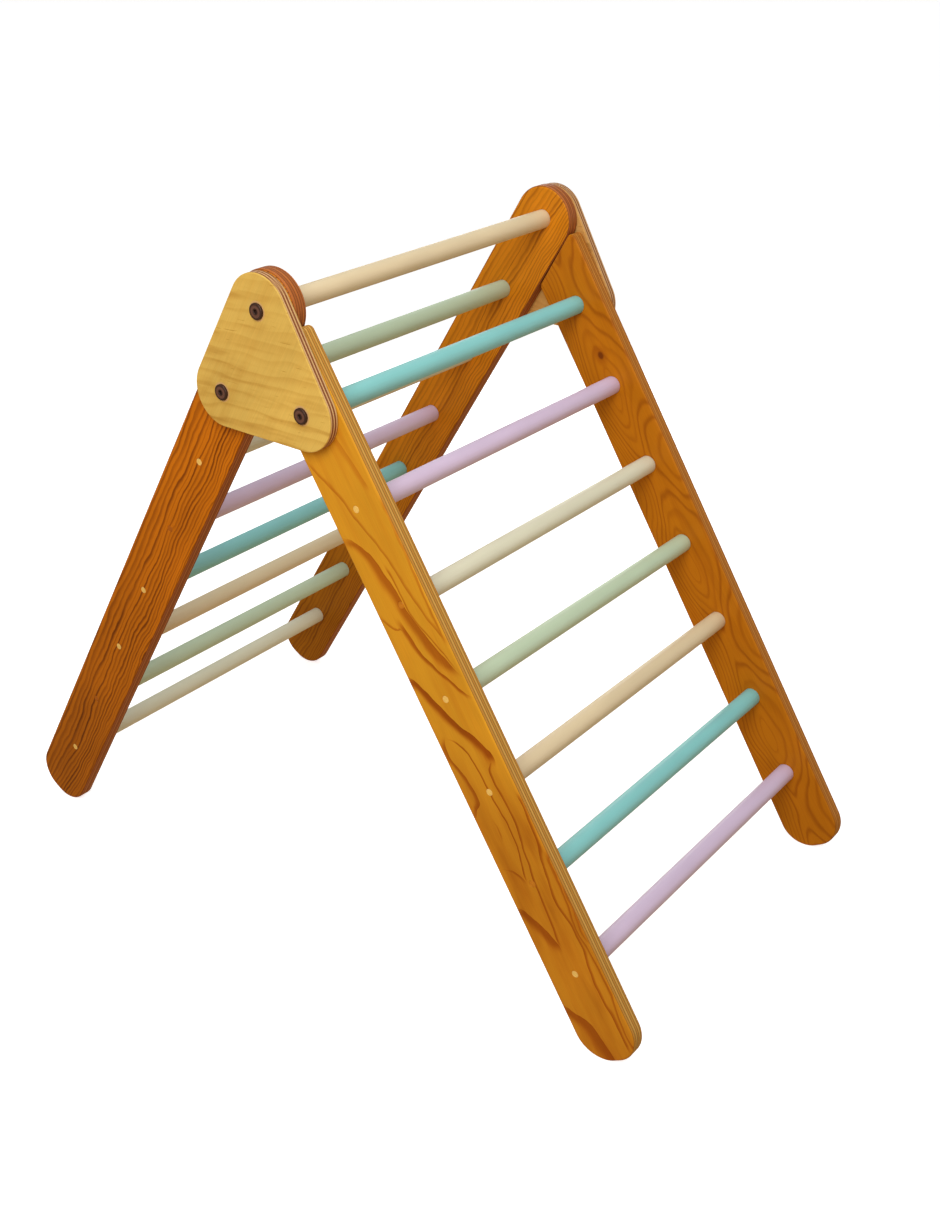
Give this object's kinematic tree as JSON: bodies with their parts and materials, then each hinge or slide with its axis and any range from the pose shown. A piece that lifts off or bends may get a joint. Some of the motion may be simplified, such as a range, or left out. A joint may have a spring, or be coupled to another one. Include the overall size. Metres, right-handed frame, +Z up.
{
  "type": "folding climbing triangle",
  "caption": "Folding climbing frame for small children: a pair of ladders with painted round rungs between plywood rails, hinged under the apex on bolted gusset plates.",
  "frame": {"origin": "on the floor, in the middle of the open frame's footprint", "axes": "+X from the rear ladder to the front ladder that swings, +Y along the rungs, +Z up"},
  "size_m": [0.9297, 0.5176, 0.7746],
  "materials": {
    "rear_rail_plywood": "dark amber varnish on pine-faced plywood",
    "front_rail_plywood": "honey varnish on pine-faced plywood",
    "gusset_plywood": "pale yellow varnish on plywood",
    "peach_paint": "satin peach paint on a wooden dowel",
    "sage_paint": "satin sage green paint on a wooden dowel",
    "cream_paint": "satin cream paint on a wooden dowel",
    "lilac_paint": "satin lilac paint on a wooden dowel",
    "teal_paint": "satin teal paint on a wooden dowel",
    "bronzed_steel": "dark bronzed steel",
    "zinc_plated_steel": "zinc plated steel",
    "plug_wood": "bare light wood under varnish"
  },
  "bodies": {
    "rear_frame": {"rear_rail_left": "rear_rail_plywood", "rear_rail_right": "rear_rail_plywood", "gusset_left": "gusset_plywood", "gusset_right": "gusset_plywood", "apex_rung": "peach_paint", "rear_rung_1": "sage_paint", "rear_rung_2": "cream_paint", "rear_rung_3": "lilac_paint", "rear_rung_4": "teal_paint", "rear_rung_5": "peach_paint", "rear_rung_6": "sage_paint", "rear_rung_7": "cream_paint", "apex_bolt_left": "bronzed_steel", "apex_bolt_right": "bronzed_steel", "rear_bolt_left": "bronzed_steel", "rear_bolt_right": "bronzed_steel", "apex_inserts": "zinc_plated_steel", "rear_inserts": "zinc_plated_steel", "rear_screws": "zinc_plated_steel", "rear_plugs": "plug_wood"},
    "front_frame": {"front_rail_left": "front_rail_plywood", "front_rail_right": "front_rail_plywood", "pivot_rung": "teal_paint", "front_rung_1": "lilac_paint", "front_rung_2": "cream_paint", "front_rung_3": "sage_paint", "front_rung_4": "peach_paint", "front_rung_5": "teal_paint", "front_rung_6": "lilac_paint", "pivot_bolt_left": "bronzed_steel", "pivot_bolt_right": "bronzed_steel", "pivot_inserts": "zinc_plated_steel", "front_screws": "zinc_plated_steel", "front_plugs": "plug_wood"}
  },
  "joints": [
    {"name": "fold", "type": "hinge", "parent": "rear_frame", "child": "front_frame", "pos_m": [0.07396, 0, 0.63929], "axis": [0, 1, 0], "range_deg": [0, 64.4]}
  ]
}
